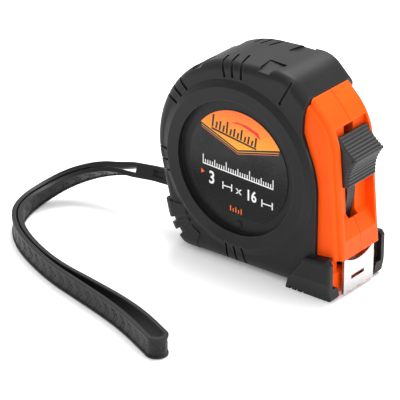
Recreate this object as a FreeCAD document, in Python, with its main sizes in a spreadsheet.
import FreeCAD, Part
import math
import os

# Pocket tape measure, 3 m x 16 mm, with a rubber-clad case and a wrist strap.
# +X is the front, where the blade comes out, -Y is the label side and +Z is up.
# The origin is on the base, under the drum's axis and in the plane where the case halves meet.

V = FreeCAD.Vector
UP = V(0, 0, 1)
ACROSS = V(0, 1, 0)
BIG = 100.0

doc = FreeCAD.newDocument("TapeMeasure")
sizes = doc.addObject("Spreadsheet::Sheet", "Sizes")

DRIVING = [
    ("axis_height", 37.0, "drum axis above the base"),
    ("rear_x", 1.0, "centre of the round back"),
    ("rear_z", 38.9, "centre of the round back"),
    ("rear_radius", 34.9, "round back of the case"),
    ("heel_x", -11.6, "centre of the lower rear corner"),
    ("heel_radius", 17.6, "lower rear corner, whose centre is this high so that the base is level"),
    ("toe_x", 35.4, "centre of the lower front corner"),
    ("toe_radius", 6.0, "lower front corner"),
    ("brow_x", 16.3, "centre of the upper front curve"),
    ("brow_z", 48.3, "centre of the upper front curve"),
    ("brow_radius", 21.4, "upper front curve"),
    ("crown_x", 15.5, "centre of the top front corner"),
    ("crown_z", 64.2, "centre of the top front corner"),
    ("crown_radius", 10.4, "top front corner"),
    ("rubber_half", 13.4, "half width over the rubber"),
    ("rubber_skin", 1.6, "rubber over the plastic"),
    ("shoulder", 3.2, "rounding of the rubber's shoulders"),
    ("belly", 7.2, "rounding of the rubber along the base"),
    ("tread_depth", 0.8, "slots in the rubber"),
    ("block_proud", 1.4, "raised blocks on the lower rear corner"),
    ("foot_half", 16.3, "half width over the front feet"),
    ("foot_base_half", 13.7, "half width of the front feet at the base"),
    ("foot_wall", 2.6, "wall of a foot beside the mouth"),
    ("wall", 2.0, "plastic wall"),
    ("spine_half", 10.4, "half width of the bare plastic front"),
    ("spine_edge", 1.3, "bevel along the bare front"),
    ("cavity_half", 9.6, "half width of the hollow inside"),
    ("seam", 0.25, "gap between rubber and bare plastic"),
    ("disc_radius", 28.0, "flat face of the side boss"),
    ("disc_foot", 31.2, "side boss where it meets the shoulder"),
    ("disc_half", 14.6, "half width over the side bosses"),
    ("well_radius", 23.6, "recess for the label"),
    ("well_floor", 12.5, "half width at the bottom of the recess"),
    ("label_radius", 20.6, "label"),
    ("label_thick", 0.25, "label"),
    ("label_rise", 0.9, "label centre above the drum axis"),
    ("arbor_radius", 3.0, "arbor"),
    ("running_gap", 0.05, "radial gap of the drum on its arbor"),
    ("drum_radius", 22.0, "drum, under the blade"),
    ("drum_wall", 1.2, "drum"),
    ("coil_radius", 25.0, "blade when it is all wound in"),
    ("blade_width", 16.0, "blade"),
    ("blade_thick", 0.14, "blade"),
    ("blade_cup", 14.0, "radius of the blade's hollow"),
    ("blade_height", 11.5, "middle of the blade above the base"),
    ("hook_half", 8.3, "half width of the end hook"),
    ("hook_back", 39.0, "back face of the end hook"),
    ("rivet_x", 35.8, "rivets of the end hook"),
    ("hook_thick", 0.9, "end hook"),
    ("hook_low", 1.0, "lower edge of the end hook"),
    ("hook_play", 1.0, "sliding play of the hook"),
    ("button_half", 8.2, "half width of the lock button"),
    ("channel_half", 8.5, "half width of the lock's channel"),
    ("neck_half", 2.2, "half width of the lock lever"),
    ("pin_x", -26.2, "strap pin"),
    ("pin_z", 19.3, "strap pin"),
    ("pin_radius", 1.3, "strap pin"),
    ("strap_width", 7.5, "wrist strap"),
    ("clip_half", 7.0, "half width of the belt clip"),
    ("clip_thick", 0.9, "belt clip"),
    ("clip_gap", 3.2, "belt clip, for the belt"),
]
for row, (alias, value, meaning) in enumerate(DRIVING, start=1):
    sizes.set("A%d" % row, alias)
    sizes.set("B%d" % row, str(value))
    sizes.set("C%d" % row, meaning)
    sizes.setAlias("B%d" % row, alias)
doc.recompute()
S = {alias: float(sizes.get(alias)) for alias, value, meaning in DRIVING}
AXIS = S["axis_height"]


# ---- helpers: each makes one object whose sizes are expressions on the sheet ----

def bind(obj, **formulas):
    """Bind properties of an object to formulas that use the sheet's names."""
    for name, formula in formulas.items():
        path = name.replace("__", ".")
        obj.setExpression(path, formula)


def words(formula):
    """Turn plain sheet names into full references."""
    text = str(formula)
    for alias in sorted(S, key=len, reverse=True):
        text = text.replace("<" + alias + ">", "Sizes." + alias)
    return text


def place(obj, x=0, y=0, z=0, turn=None):
    if turn:
        obj.Placement = FreeCAD.Placement(V(0, 0, 0), FreeCAD.Rotation(turn[0], turn[1]))
    bind(obj, Placement__Base__x=words(x), Placement__Base__y=words(y), Placement__Base__z=words(z))
    return obj


def box(name, low, high):
    obj = doc.addObject("Part::Box", name)
    spans = ["(%s) - (%s)" % (words(b), words(a)) for a, b in zip(low, high)]
    bind(obj, Length=spans[0], Width=spans[1], Height=spans[2])
    return place(obj, *low)


def cylinder(name, x, z, radius, y_from, y_to):
    """A cylinder along Y."""
    obj = doc.addObject("Part::Cylinder", name)
    bind(obj, Radius=words(radius), Height="(%s) - (%s)" % (words(y_to), words(y_from)))
    return place(obj, x, y_from, z, turn=(V(1, 0, 0), -90))


def cone(name, x, z, radius_from, radius_to, y_from, y_to):
    """A cone along Y."""
    obj = doc.addObject("Part::Cone", name)
    bind(obj, Radius1=words(radius_from), Radius2=words(radius_to),
         Height="(%s) - (%s)" % (words(y_to), words(y_from)))
    return place(obj, x, y_from, z, turn=(V(1, 0, 0), -90))


def fuse(name, *shapes):
    obj = doc.addObject("Part::MultiFuse", name)
    obj.Shapes = list(shapes)
    return obj


def common(name, base, tool):
    obj = doc.addObject("Part::Common", name)
    obj.Base = base
    obj.Tool = tool
    return obj


def cut(name, base, *tools):
    obj = doc.addObject("Part::Cut", name)
    obj.Base = base
    obj.Tool = tools[0] if len(tools) == 1 else fuse(name + "_tools", *tools)
    return obj


def mirror(name, source):
    """The same shape on the other side of the middle plane."""
    obj = doc.addObject("Part::Mirroring", name)
    obj.Source = source
    obj.Normal = ACROSS
    return obj


def side_sketch(name, edges):
    """A sketch in the side view, from edges given as (x, z) lines and arcs."""
    sketch = doc.addObject("Sketcher::SketchObject", name)
    sketch.Placement = FreeCAD.Placement(V(0, 0, 0), FreeCAD.Rotation(V(1, 0, 0), 90))
    sketch.addGeometry(edges, False)
    return sketch


def slab(name, edges, half):
    """A side-view outline, extruded to the same width on both sides of the middle."""
    obj = doc.addObject("Part::Extrusion", name)
    obj.Base = side_sketch(name + "_outline", edges)
    obj.DirMode = "Custom"
    obj.Dir = ACROSS
    obj.Solid = True
    obj.Symmetric = True
    bind(obj, LengthFwd="2 * (%s)" % words(half))
    return obj


def polygon(points):
    flat = [V(x, z, 0) for x, z in points]
    return [Part.LineSegment(a, b) for a, b in zip(flat, flat[1:] + flat[:1])]


def belt(circles):
    """The tight closed line round circles (x, z, radius), given counter-clockwise."""
    normals = []
    for (x1, z1, r1), (x2, z2, r2) in zip(circles, circles[1:] + circles[:1]):
        span = math.hypot(x2 - x1, z2 - z1)
        normals.append(math.atan2(z2 - z1, x2 - x1) - math.acos((r1 - r2) / span))
    edges = []
    for i, (x, z, r) in enumerate(circles):
        start = normals[i - 1]
        end = normals[i]
        while end < start:
            end += 2 * math.pi
        edges.append(Part.ArcOfCircle(Part.Circle(V(x, z, 0), UP, r), start, end))
        nx, nz, nr = circles[(i + 1) % len(circles)]
        ray = V(math.cos(end), math.sin(end), 0)
        edges.append(Part.LineSegment(V(x, z, 0) + ray * r, V(nx, nz, 0) + ray * nr))
    return edges


def case_line(inset):
    """The case's side view, moved inwards by the inset."""
    circles = [
        (S["rear_x"], S["rear_z"], S["rear_radius"]),
        (S["heel_x"], S["heel_radius"], S["heel_radius"]),
        (S["toe_x"], S["toe_radius"], S["toe_radius"]),
        (S["brow_x"], S["brow_z"], S["brow_radius"]),
        (S["crown_x"], S["crown_z"], S["crown_radius"]),
    ]
    return belt([(x, z, r - inset) for x, z, r in circles])


def rim_edges(shape, half, ceiling):
    """Numbers of the edges that lie wholly in either side face, no higher than the ceiling."""
    found = []
    for number, edge in enumerate(shape.Edges, start=1):
        if all(abs(abs(v.Y) - half) < 1e-6 and v.Z < ceiling for v in edge.Vertexes):
            middle = edge.valueAt((edge.FirstParameter + edge.LastParameter) / 2)
            if abs(abs(middle.y) - half) < 1e-6:
                found.append(number)
    return found


def round_rims(name, base, half, radius, ceiling=BIG):
    """Round both side rims of a slab."""
    doc.recompute()
    obj = doc.addObject("Part::Fillet", name)
    obj.Base = base
    obj.Edges = [(number, radius, radius) for number in rim_edges(base.Shape, half, ceiling)]
    return obj


def case_body(name, inset, half, shoulder, belly):
    """The case's outside moved inwards: tight shoulders, and a rounder edge along the base."""
    top = round_rims(name + "Top", slab(name + "TopBlank", case_line(inset), half), half, shoulder)
    base = max(inset, 0.0)
    tub_line = polygon([(-BIG, base), (BIG, base), (BIG, BIG), (-BIG, BIG)])
    tub = round_rims(name + "Tub", slab(name + "TubBlank", tub_line, half), half, belly, base + 1)
    return common(name, top, tub)


def solid(name, shape):
    obj = doc.addObject("Part::Feature", name)
    obj.Shape = shape
    obj.Placement = FreeCAD.Placement()
    return obj


def route_wire(points, radius_share=0.45):
    """Straight runs joined by tangent arcs; returns the wire and its bend radii."""
    edges = []
    radii = []
    start = points[0]
    for before, corner, after in zip(points, points[1:], points[2:]):
        come = (corner - before).normalize()
        go = (after - corner).normalize()
        turn = come.getAngle(go)
        reach = radius_share * min((corner - before).Length, (after - corner).Length)
        radii.append(reach / math.tan(turn / 2))
        first = corner - come * reach
        last = corner + go * reach
        inward = (go - come).normalize()
        middle = corner + inward * (reach * math.tan(turn / 4))
        edges.append(Part.LineSegment(start, first).toShape())
        edges.append(Part.Arc(first, middle, last).toShape())
        start = last
    edges.append(Part.LineSegment(start, points[-1]).toShape())
    return Part.Wire(edges), radii


nodes = []


def node(name, obj):
    obj.Label = name
    nodes.append(obj)
    return obj


NEAR = ("-%g" % BIG, "-%g" % BIG, "-%g" % BIG)
near_side = box("NearSide", NEAR, (BIG, 0, BIG))
far_side = box("FarSide", ("-%g" % BIG, 0, "-%g" % BIG), (BIG, BIG, BIG))


# ---- the plastic case: two half shells that meet in the middle plane ----

def front_region(name, gap):
    """Everything ahead of the line where the rubber stops."""
    hip = V(26.0 + gap, 56.0, 0)
    waist = V(28.6 + gap, 49.0, 0)
    knee = V(31.9 + gap, 34.0, 0)
    top = V(27.0 + gap, 66.0, 0)
    edges = [
        Part.LineSegment(V(27.0 + gap, BIG, 0), top),
        Part.Arc(top, V(26.1 + gap, 61.0, 0), hip),
        Part.LineSegment(hip, waist),
        Part.Arc(waist, V(31.2 + gap, 41.5, 0), knee),
        Part.LineSegment(knee, V(31.9 + gap, -BIG, 0)),
        Part.LineSegment(V(31.9 + gap, -BIG, 0), V(BIG, -BIG, 0)),
        Part.LineSegment(V(BIG, -BIG, 0), V(BIG, BIG, 0)),
        Part.LineSegment(V(BIG, BIG, 0), V(27.0 + gap, BIG, 0)),
    ]
    return slab(name, edges, BIG)


def make_case():
    skin = S["rubber_skin"]
    shell_half = S["rubber_half"] - skin
    under_rubber = case_body("UnderRubber", skin, shell_half, S["shoulder"] - skin, S["belly"] - skin)
    spine = round_rims("Spine", slab("SpineBlank", case_line(0.0), "<spine_half>"),
                       S["spine_half"], S["spine_edge"])
    bare_front = common("BareFront", spine, front_region("AheadOfRubber", 0.0))
    # the bare front stands over the mouth, above two rubber feet
    lip_front = S["hook_back"] - 1.3
    under_mouth = slab("UnderMouth", polygon([(lip_front, -5), (lip_front, MOUTH_LOW - 1),
                                              (lip_front - 0.8, MOUTH_LOW), (lip_front - 0.8, MOUTH_HIGH),
                                              (AHEAD, MOUTH_HIGH), (AHEAD, -5)]), 20)
    base_relief = box("BaseRelief", (30, -20, -5), (AHEAD, 20, 1.2))
    outside = fuse("CaseOutside", under_rubber, bare_front)

    hollow_line = slab("HollowBlank", case_line(skin + S["wall"]), "<cavity_half>")
    hollow_end = box("HollowEnd", (-BIG, -BIG, -BIG), (30.6, BIG, BIG))
    hollow = common("Hollow", hollow_line, hollow_end)
    mouth = box("Mouth", (28, -8.3, MOUTH_LOW), (AHEAD, 8.3, MOUTH_HIGH))
    channel = slab("LockChannel", polygon([(34.2, 58.6), (AHEAD, 58.6), (AHEAD, 20.0), (40.4, 20.0),
                                           (37.4, 25.4), (35.9, 27.0)]), "<channel_half>")
    neck_side = "<neck_half> + 0.35"
    neck_slot = box("NeckSlot", (29, "-(%s)" % neck_side, 26), (AHEAD, neck_side, 57.6))
    lever_way = box("LeverWay", (29, "-(%s)" % neck_side, 12), (37.2, neck_side, 30))
    pad_seat = box("PadSeat", (30.9, -5.05, 7.55), (36.05, 5.05, 9.7))
    strap_slot = box("StrapSlot", *STRAP_SLOT)
    spaces = [under_mouth, base_relief, hollow, mouth, channel, neck_slot, lever_way, pad_seat, strap_slot]
    body = cut("CaseHollowed", outside, *spaces)

    # posts for the arbor and the three screws, and walls round the strap slot
    posts = []
    post_end = 11
    for number, (x, z) in enumerate(SCREW_PLACES):
        posts.append(cylinder("ScrewPost%d" % number, x, z, 3.1, -post_end, post_end))
    posts.append(cylinder("ArborPost", 0, "<axis_height>", 5.2, -post_end, -8.9))
    posts.append(cylinder("ArborPostFar", 0, "<axis_height>", 5.2, 8.9, post_end))
    chamber = box("StrapChamber", *STRAP_CHAMBER)
    chamber_trim = common("StrapChamberTrim", chamber, slab("StrapTrim", case_line(skin + 0.6), 7))
    chamber_wall = cut("StrapChamberWall", chamber_trim, box("StrapSlotAgain", *STRAP_SLOT))
    posts_inside = common("PostsInside", fuse("Posts", *posts), outside)
    filled = fuse("CaseFilled", body, chamber_wall, posts_inside)

    holes = []
    for number, (x, z) in enumerate(SCREW_PLACES):
        holes.append(cylinder("ScrewHole%d" % number, x, z, 1.2, -9.0, 20))
        holes.append(cylinder("HeadHole%d" % number, x, z, 2.7, 9.2, 20))
    holes.append(cylinder("ArborHole", 0, "<axis_height>", "<arbor_radius>", -10.6, 10.6))
    holes.append(cylinder("PinHole", "<pin_x>", "<pin_z>", "<pin_radius>", -5.6, 5.6))
    holes.append(cylinder("ClipScrewHole", 0, "<axis_height>", 1.2, 10.6, 20))
    whole = cut("CaseWhole", filled, *holes)
    node("case_left", common("CaseLeft", whole, near_side))
    node("case_right", common("CaseRight", whole, far_side))


SCREW_PLACES = [(-20.0, 9.0), (21.5, 63.6), (22.5, 6.6)]
MOUTH_LOW = 9.6
MOUTH_HIGH = 14.1
AHEAD = 60.0
STRAP_SLOT = ((-45, -4.3, 14.2), (-22.8, 4.3, 23.4))
STRAP_CHAMBER = ((-36, -6.2, 13.0), (-22.2, 6.2, 24.8))
RUBBER_STRAP_SLOT = ((-45, -4.6, 13.9), (-22.8, 4.6, 23.7))


# ---- the rubber cladding: shoulders, side bosses, treads and feet ----

def shoulder_groove(angle, width, tilt, y_from, y_to):
    """A thin slot across the near shoulder, at an angle about the round back's centre."""
    length = 9.5
    blade = Part.makeBox(length, y_to - y_from, width, V(-length, y_from, -width / 2))
    blade.rotate(V(0, (y_from + y_to) / 2, 0), V(1, 0, 0), tilt)
    blade.translate(V(S["rear_radius"] + 4, 0, 0))
    blade.rotate(V(0, 0, 0), ACROSS, -angle)
    blade.translate(V(S["rear_x"], 0, S["rear_z"]))
    return blade


def shoulder_pocket(x, z, lean):
    """A shallow pocket whose floor slopes down and runs out at the shoulder's edge."""
    length = 7.8
    reach = 10.0
    inner = -4.6
    depth = 0.75
    slope = 5
    outline = [V(-length / 2, inner, 0), V(length / 2, inner - 1.2, 0), V(length / 2, inner - 4.6, 0),
               V(0.4, inner - reach, 0), V(-length / 2 + 1.4, inner - reach, 0)]
    face = Part.Face(Part.makePolygon(outline + outline[:1]))
    cutter = face.extrude(V(0, 0, 9))
    cutter.rotate(V(0, inner, 0), V(1, 0, 0), slope)
    cutter.translate(V(0, 0, -depth))
    cutter.rotate(V(0, 0, 0), ACROSS, lean)
    cutter.translate(V(x, 0, z))
    return cutter


def make_slots():
    """Slots in the near shoulder; the far side has the same ones mirrored."""
    slots = []
    top_slots = ((91.5, -4.9), (98.0, -5.4), (104.0, -6.4))
    back_slots = ((139.0, -5.0), (146.0, -5.0), (153.0, -5.0))
    outer_end = -14.5
    for angle, inner_end in top_slots + back_slots:
        slots.append(shoulder_groove(angle, 1.0, 17, outer_end, inner_end))
    for angle in (185.5, 193.0, 200.0):
        slots.append(shoulder_groove(angle, 0.8, 0, outer_end, -9.0))
    for angle in (261.0, 267.0, 273.0):
        slots.append(shoulder_groove(angle, 0.9, 0, outer_end, -6.5))
    # one longer slot at the top front corner, with a short hook at its inner end
    slots.append(shoulder_groove(61.0, 1.0, 24, -14.0, -6.0))
    slots.append(shoulder_groove(59.0, 3.0, 0, -7.3, -6.1))
    return slots


def make_blocks():
    """Raised blocks on the lower rear corner, on both sides of the strap."""
    half = S["rubber_half"] + 0.4
    proud = S["block_proud"]
    layer = case_body("BlockLayer", -proud, half, S["shoulder"], S["belly"])
    wedges = []
    for number, (start, end) in enumerate(((183, 203), (209, 218), (225, 249))):
        corners = []
        for radius, angle in ((10, start), (25, start), (25, (start + end) / 2), (25, end), (10, end)):
            turn = math.radians(angle)
            x = S["heel_x"] + radius * math.cos(turn)
            corners.append((x, S["heel_radius"] + radius * math.sin(turn)))
        wedges.append(slab("BlockWedge%d" % number, polygon(corners), 20))
    middle = box("BlockMiddle", (-60, -5.0, -10), (0, 5.0, 60))
    return cut("Blocks", common("BlockSectors", layer, fuse("BlockWedges", *wedges)), middle)


def make_foot():
    """Rubber bumpers on both sides of the mouth: they flare outwards, and stand proud of the case."""
    half = S["foot_half"]
    outline = polygon([(20.4, 0.0), (38.2, 0.0), (39.3, 1.3), (39.3, 13.8), (38.0, 15.3), (28.9, 14.2),
                       (22.4, 4.6)])
    blank = round_rims("FootRound", slab("FootBlank", outline, half), half, 1.3)
    taper_top = 7.2
    inner = S["spine_half"] - 0.6
    tapers = []
    for side in (-1, 1):
        corners = [V(0, side * half, taper_top), V(0, side * S["foot_base_half"], 0), V(0, side * 30, 0),
                   V(0, side * 30, taper_top)]
        face = Part.Face(Part.makePolygon(corners + corners[:1]))
        tapers.append(face.extrude(V(AHEAD, 0, 0)))
    tapers = [solid("FootTaper%d" % number, taper) for number, taper in enumerate(tapers)]
    wall_inside = half - S["foot_wall"]
    recess = box("FootRecess", (37.4, -wall_inside, 4.8), (AHEAD, wall_inside, 40))
    notches = []
    for number, x in enumerate((22.6, 24.9, 27.2)):
        notch = Part.makeCylinder(0.6, 8, V(x, -20, 0.5), ACROSS)
        notches.append(solid("FootNotch%d" % number, notch))
        notches.append(solid("FootNotchFar%d" % number, notch.translated(V(0, 32, 0))))
    inside = box("FootInside", (15, -inner, -5), (AHEAD, inner, 40))
    return cut("Feet", blank, inside, recess, *tapers, *notches)


def make_grips():
    skin_blank = case_body("Skin", 0.0, S["rubber_half"], S["shoulder"], S["belly"])
    behind = cut("BehindFront", skin_blank, front_region("AheadOfSeam", -S["seam"]))
    boss = cone("Boss", 0, "<axis_height>", "<disc_radius>", "<disc_foot>", "-<disc_half>", -13.1)
    rubber = fuse("RubberBlank", behind, boss, make_blocks(), make_foot())
    near = common("RubberNear", rubber, near_side)
    core = fuse("RubberCore", doc.getObject("UnderRubber"), doc.getObject("BareFront"))
    well = cylinder("Well", 0, "<axis_height>", "<well_radius>", -20, "-<well_floor>")
    strap_slot = box("StrapSlotRubber", *RUBBER_STRAP_SLOT)
    depth = S["tread_depth"]
    floor_half = S["rubber_half"] - depth
    floor = case_body("TreadFloor", depth, floor_half, S["shoulder"] - depth, S["belly"] - depth)
    slots = cut("Treads", solid("TreadSlots", Part.makeCompound(make_slots())), floor)
    pockets = [shoulder_pocket(10.5, 74.5, 0.0), shoulder_pocket(-17.6, 68.7, -31.0)]
    pockets = solid("Pockets", Part.makeCompound(pockets))
    grip = cut("GripLeft", near, core, well, strap_slot, slots, pockets)
    node("grip_left", grip)
    far = mirror("GripFar", grip)
    head_holes = []
    for number, (x, z) in enumerate(SCREW_PLACES):
        head_holes.append(cylinder("RubberHole%d" % number, x, z, 2.9, 5, 20))
    head_holes.append(cylinder("RubberClipHole", 0, "<axis_height>", 1.5, 5, 20))
    node("grip_right", cut("GripRight", far, *head_holes))


def make_label():
    top = AXIS + S["label_rise"]
    disc = cylinder("LabelDisc", 0, top, "<label_radius>", "-<well_floor> - <label_thick>", "-<well_floor>")
    notch = cylinder("LabelNotch", -1.5, AXIS - 20.6, 2.2, -20, 0)
    node("label_left", cut("Label", disc, notch))


# ---- the drum, its spring and the wound blade, all on one arbor ----

def make_drum():
    bore = S["arbor_radius"] + S["running_gap"]
    arbor = cylinder("ArborPin", 0, "<axis_height>", "<arbor_radius>", -10.4, 10.4)
    spring_slit = box("SpringSlit", (-BIG, -5.5, AXIS - 0.25), (0, 5.5, AXIS + 0.25))
    screw_bore = cylinder("ArborThread", 0, "<axis_height>", 1.2, 5.8, 20)
    node("arbor", cut("Arbor", arbor, spring_slit, screw_bore))

    inner = S["drum_radius"] - S["drum_wall"]
    rim = cylinder("DrumRim", 0, "<axis_height>", "<drum_radius>", -8, 8)
    room = cylinder("DrumRoom", 0, "<axis_height>", inner, -7, 20)
    hub = cylinder("DrumHub", 0, "<axis_height>", 4.8, -8, -6)
    drum = fuse("DrumWithHub", cut("DrumCup", rim, room), hub)
    node("tape_drum", cut("Drum", drum, cylinder("DrumBore", 0, "<axis_height>", bore, -20, 20)))

    lid = cylinder("LidDisc", 0, "<axis_height>", inner, 7, 8)
    lid_hub = cylinder("LidHub", 0, "<axis_height>", 4.8, 6, 8)
    lid_bore = cylinder("LidBore", 0, "<axis_height>", bore, -20, 20)
    node("drum_cap", cut("DrumCap", fuse("LidWithHub", lid, lid_hub), lid_bore))

    node("power_spring", solid("PowerSpring", spring_coil(5.6, inner - 1.0, 8, 0.3, 5.5)))

    wound = cylinder("Wound", 0, "<axis_height>", "<coil_radius>", "-<blade_width> / 2", "<blade_width> / 2")
    wound_bore = cylinder("WoundBore", 0, "<axis_height>", "<drum_radius>", -20, 20)
    node("tape_coil", cut("TapeCoil", wound, wound_bore))


def spring_coil(radius_from, radius_to, turns, thick, half):
    """A flat spiral strip, drawn as half turns that grow."""
    edges = []
    step = (radius_to - radius_from) / (2 * turns)
    for number in range(2 * turns):
        radius = radius_from + step * number
        side = 1 if number % 2 == 0 else -1
        shift = 0 if number % 2 == 0 else -step
        centre = V(shift, -half, AXIS)
        start = centre + V(side * radius, 0, 0)
        top = centre + V(0, 0, side * radius)
        finish = centre - V(side * radius, 0, 0)
        edges.append(Part.Arc(start, top, finish).toShape())
    return strip_solid(Part.Wire(edges), thick, V(0, 2 * half, 0))


def strip_solid(wire, thick, sweep):
    """A strip of even thickness along a flat wire, extruded to its width."""
    band = wire.makeOffset2D(thick / 2, 0, True, False, False)
    return band.extrude(sweep)


# ---- the blade's straight run, the end hook and its rivets ----

def cup_band(x, cup, thick, half_width, low):
    """A strip's cross section at x: an arc that is hollow on top."""
    swing = half_width / cup
    centre = V(x, 0, low + cup)

    def at(radius, angle):
        return centre + V(0, radius * math.sin(angle), -radius * math.cos(angle))

    lower = Part.Arc(at(cup, -swing), at(cup, 0), at(cup, swing)).toShape()
    upper = Part.Arc(at(cup - thick, swing), at(cup - thick, 0), at(cup - thick, -swing)).toShape()
    sides = [Part.LineSegment(at(cup, swing), at(cup - thick, swing)).toShape(),
             Part.LineSegment(at(cup - thick, -swing), at(cup, -swing)).toShape()]
    return Part.Wire([lower, sides[0], upper, sides[1]])


RIVET_ROWS = (-1.9, 1.9)
SHANK_RADIUS = 0.8
RIVET_HEAD = (1.3, 0.4)
BLADE_LEAVES_COIL = 5.0
BLADE_IS_CUPPED = 20.0
NEARLY_FLAT = 400.0


def make_blade():
    height = S["blade_height"]
    half = S["blade_width"] / 2
    thick = S["blade_thick"]
    cup = S["blade_cup"]
    blade_end = S["hook_back"] - 1.4
    flat = cup_band(BLADE_LEAVES_COIL, NEARLY_FLAT, thick, half, height)
    cupped = [cup_band(x, cup, thick, half, height) for x in (BLADE_IS_CUPPED, blade_end)]
    run_in = Part.makeLoft([flat, cupped[0]], True, True)
    straight = Part.makeLoft(cupped, True, True)
    blade = run_in.fuse(straight).removeSplitter()
    rivets = []
    for y in RIVET_ROWS:
        seat = height + cup - math.sqrt(cup ** 2 - y ** 2)
        shank = Part.makeCylinder(SHANK_RADIUS, 1.9, V(S["rivet_x"], y, seat - 1.5))
        head = Part.makeCylinder(*RIVET_HEAD, V(S["rivet_x"], y, seat + 0.25))
        tail = Part.makeCylinder(*RIVET_HEAD, V(S["rivet_x"], y, seat - 1.75))
        rivets.append(shank.fuse([head, tail]).removeSplitter())
        blade = blade.cut(rivets[-1])
    node("tape_lead", solid("TapeLead", blade))
    node("hook_rivets", solid("HookRivets", Part.makeCompound(rivets)))
    make_hook(height, thick)


def make_hook(height, thick):
    """The plated hook: a hollow tongue under the blade and a plate across the mouth."""
    back = S["hook_back"]
    gauge = S["hook_thick"]
    play = S["hook_play"]
    gap = 0.06
    tongue_end = 29.5
    outer = S["blade_cup"] + gap + gauge
    low = height - gap - gauge
    tongue_face = Part.Face(cup_band(tongue_end, outer, gauge, 5.6, low))
    tongue = tongue_face.extrude(V(back + gauge - tongue_end, 0, 0))
    plate = Part.makeBox(gauge, 2 * S["hook_half"], 20, V(back, -S["hook_half"], S["hook_low"]))
    hollow = Part.makeCylinder(outer - gauge, 10, V(back - 5, 0, low + outer), V(1, 0, 0))
    above = Part.makeBox(10, 40, 20, V(back - 5, -20, height + 2.3))
    hook = tongue.fuse(plate.cut(hollow).cut(above))
    slot_radius = SHANK_RADIUS + 0.2
    for y in RIVET_ROWS:
        start = V(S["rivet_x"] - play, y, height - 3)
        back_end = Part.makeCylinder(slot_radius, 6, start)
        front_end = Part.makeCylinder(slot_radius, 6, start + V(play, 0, 0))
        middle = Part.makeBox(play, 2 * slot_radius, 6, start - V(0, slot_radius, 0))
        hook = hook.cut(back_end.fuse([front_end, middle]))
    nail_slot = Part.makeBox(5, 7.2, 1.3, V(back - 2, -4.2, 5.2))
    hook = hook.cut(nail_slot)
    for y in (-5.6, 0.0, 5.6):
        hook = hook.cut(Part.makeCylinder(1.5, 5, V(back - 2, y, S["hook_low"] - 0.9), V(1, 0, 0)))
    node("end_hook", solid("EndHook", hook.removeSplitter()))


# ---- the blade lock: a button in the front channel with a lever down to the blade ----

def rounded_run(points):
    return route_wire([V(x, 0, z) for x, z in points])[0]


def make_lock():
    half = S["button_half"]
    profile = polygon([(36.0, 56.0), (43.4, 49.6), (43.6, 48.6), (41.6, 43.2), (40.4, 38.9), (36.6, 38.9),
                       (35.2, 55.4)])
    button = slab("ButtonBlank", profile, "<button_half>")
    stem_low = (33.2, "-<neck_half>", 43.0)
    stem_high = (37.6, "<neck_half>", 50.0)
    rounded = round_rims("LockButtonRound", button, half, 0.5)
    node("lock_button", cut("LockButton", rounded, box("StemSocket", stem_low, stem_high)))
    lever_line = rounded_run([(32.9, 53.0), (34.6, 40.0), (35.6, 33.5), (33.9, 26.0), (32.4, 18.3)])
    lever = strip_solid(lever_line.translated(V(0, -S["neck_half"], 0)), 1.5, V(0, 2 * S["neck_half"], 0))
    stem = Part.makeBox(stem_high[0] - stem_low[0], 2 * S["neck_half"], stem_high[2] - stem_low[2],
                        V(stem_low[0], -S["neck_half"], stem_low[2]))
    node("lock_lever", solid("LockLever", lever.fuse(stem).removeSplitter()))
    pad = Part.makeBox(5.0, 10.0, 2.2, V(30.95, -5.0, 7.6))
    node("brake_pad", solid("BrakePad", pad.makeFillet(0.3, [e for e in pad.Edges if e.BoundBox.ZMin > 9.7])))


# ---- fasteners, belt clip and strap ----

def pan_screw(x, z, y_tip, y_seat, head_radius, head_height):
    """A cross-head screw along Y with its head on the far side."""
    shank = Part.makeCylinder(1.2, y_seat - y_tip, V(x, y_tip, z), ACROSS)
    head = Part.makeCylinder(head_radius, head_height, V(x, y_seat, z), ACROSS)
    screw = shank.fuse(head)
    for turn in (0, 90):
        slot = Part.makeBox(head_radius * 1.3, head_height, 0.6,
                            V(-head_radius * 0.65, y_seat + head_height * 0.45, -0.3))
        slot.rotate(V(0, 0, 0), ACROSS, turn)
        screw = screw.cut(slot.translated(V(x, 0, z)))
    return screw.removeSplitter()


def make_fasteners():
    screws = [pan_screw(x, z, -8.6, 9.2, 2.5, 1.6) for x, z in SCREW_PLACES]
    node("case_screws", solid("CaseScrews", Part.makeCompound(screws)))
    node("clip_screw", solid("ClipScrew", pan_screw(0, AXIS, 6.2, 13.4, 2.9, 1.0)))
    node("strap_pin", cylinder("StrapPin", "<pin_x>", "<pin_z>", "<pin_radius>", -5.5, 5.5))


def make_clip():
    """A spring-steel strip: its short leg is screwed on, its long leg holds the belt."""
    gauge = S["clip_thick"]
    inner = S["well_floor"] + gauge / 2
    outer = inner + S["clip_gap"] + gauge
    turn_top = 57.0
    legs = [(inner, 31.0), (inner, turn_top - 3.0), ((inner + outer) / 2, turn_top + 0.2),
            (outer, turn_top - 3.0), (outer, 22.0), (outer - 1.0, 14.5), (outer + 1.4, 9.0)]
    points = [V(-S["clip_half"], y, z) for y, z in legs]
    strip = strip_solid(route_wire(points)[0], gauge, V(2 * S["clip_half"], 0, 0))
    hole = Part.makeCylinder(1.3, 30, V(0, 5, AXIS), ACROSS)
    access = Part.makeCylinder(3.4, 10, V(0, outer - 1.2, AXIS), ACROSS)
    node("belt_clip", solid("BeltClip", strip.cut(hole).cut(access)))


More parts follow.
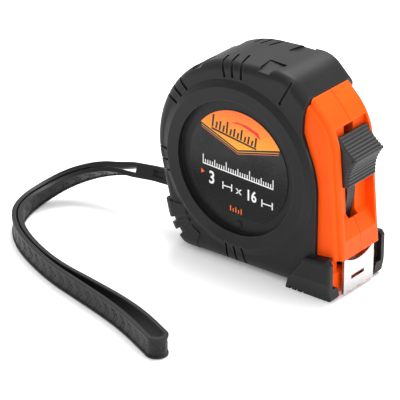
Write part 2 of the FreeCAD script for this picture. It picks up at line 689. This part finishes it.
STRAP_ROUTE = [
    (-50.5, 0.0, 16.0), (-60.3, 0.5, 14.3), (-70.0, -1.4, 11.6), (-77.6, -7.2, 8.4), (-81.8, -16.0, 5.0),
    (-81.6, -26.0, 3.8), (-77.0, -36.0, 3.9), (-68.0, -44.6, 3.8), (-56.0, -51.6, 3.9), (-41.0, -57.6, 3.8),
    (-24.0, -61.4, 3.9), (-7.5, -65.2, 3.8), (6.5, -70.4, 3.9), (19.5, -76.8, 3.8),
]


def make_strap():
    """Moulded rubber: an eye round the pin, then two bands that run side by side."""
    half = S["strap_width"] / 2
    pin = (S["pin_x"], S["pin_z"])
    far = (STRAP_ROUTE[0][0] + 2.4, STRAP_ROUTE[0][2] + 0.5)
    eye_end = (pin[0] * 0.42 + far[0] * 0.58, pin[1] * 0.42 + far[1] * 0.58)
    block = slab("StrapHeadBlock", belt([(*far, 3.1), (*pin, 3.1)]), half)
    eye = slab("StrapEye", belt([(*eye_end, 1.45), (*pin, 1.45)]), BIG)
    node("strap_head", cut("StrapHead", block, eye))
    doc.recompute()

    points = [V(*p) for p in STRAP_ROUTE]
    wire, radii = route_wire(points)
    along = (points[1] - points[0]).normalize()
    section = Part.Wire([Part.Circle(points[0], along, half).toShape()])
    tube = wire.makePipeShell([section], True, False)
    tube = tube.cut(doc.getObject("StrapHead").Shape)
    expected = math.pi * half ** 2 * wire.Length
    print("strap: length %.1f mm, bend radii %s" % (wire.Length, ", ".join("%.0f" % r for r in radii)))
    print("strap: volume %.0f mm3, section times length %.0f mm3" % (tube.Volume, expected))
    node("wrist_strap", solid("WristStrap", tube))


make_case()
make_grips()
make_label()
make_drum()
make_blade()
make_lock()
make_fasteners()
make_clip()
make_strap()
doc.recompute()

problems = []
for obj in doc.Objects:
    if "Invalid" in obj.State or "Error" in obj.State:
        problems.append("%s is %s" % (obj.Name, obj.State))
for obj in nodes:
    shape = obj.Shape
    if shape.isNull() or not shape.isValid() or not shape.Solids:
        problems.append("%s has no valid solid" % obj.Label)
if problems:
    raise RuntimeError("; ".join(problems))

os.makedirs("parts", exist_ok=True)
for obj in nodes:
    obj.Shape.exportStep("parts/%s.step" % obj.Label)
    print("%-14s %3d solid(s) %9.1f mm3" % (obj.Label, len(obj.Shape.Solids), obj.Shape.Volume))
